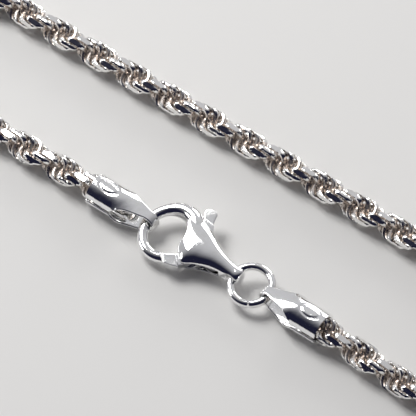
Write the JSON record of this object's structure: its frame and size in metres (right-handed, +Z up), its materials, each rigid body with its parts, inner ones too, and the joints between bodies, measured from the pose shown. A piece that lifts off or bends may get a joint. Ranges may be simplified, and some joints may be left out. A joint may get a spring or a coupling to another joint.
{
  "type": "chain necklace",
  "caption": "Polished rope chain necklace laid flat, its folded end caps joined by a lobster clasp with a sprung lever and a round jump ring.",
  "frame": {"origin": "on the surface that the necklace lies on, under the middle of the fastening line between the chain ends of the two end caps", "axes": "+Z up from the surface; the fastening line runs towards +X and 36.5 degrees towards -Y, from the left end cap to the right one; the back of the necklace is towards +Y"},
  "size_m": [0.0941, 0.0523, 0.0033],
  "materials": {
    "chain_silver": "mirror-polished silver with diamond-cut flats",
    "clasp_silver": "mirror-polished silver",
    "cap_silver": "polished silver strip with fine marks",
    "ring_silver": "mirror-polished silver wire",
    "rivet_steel": "plain drawn steel",
    "spring_steel": "spring steel wire"
  },
  "bodies": {
    "root": {"left_end_cap": "cap_silver", "right_end_cap": "cap_silver", "chain_left_run": "chain_silver", "chain_bend": "chain_silver", "chain_upper_run": "chain_silver", "chain_coil": "chain_silver", "chain_right_run": "chain_silver"},
    "jump_ring": {"jump_ring": "ring_silver"},
    "clasp": {"clasp_body": "clasp_silver", "lever_rivet": "rivet_steel", "lever_spring": "spring_steel"},
    "lever": {"clasp_lever": "clasp_silver"}
  },
  "joints": [
    {"name": "jump_ring_swing", "type": "hinge", "parent": "root", "child": "jump_ring", "pos_m": [0, 0, 0.00164], "axis": [0.8039, -0.5948, 0], "range_deg": [-12, 5]},
    {"name": "clasp_roll", "type": "hinge", "parent": "jump_ring", "child": "clasp", "pos_m": [0, 0, 0.00164], "axis": [0.8039, -0.5948, 0], "range_deg": [-10, 4]},
    {"name": "lever_open", "type": "hinge", "parent": "clasp", "child": "lever", "pos_m": [-0.0003, 0.00067, 0.00169], "axis": [0.0828, 0.1119, -0.9903], "range_deg": [0, 25], "stiffness_Nm_per_rad": 0.0004, "springref_deg": -5.73, "deforming": ["lever_spring"]}
  ]
}
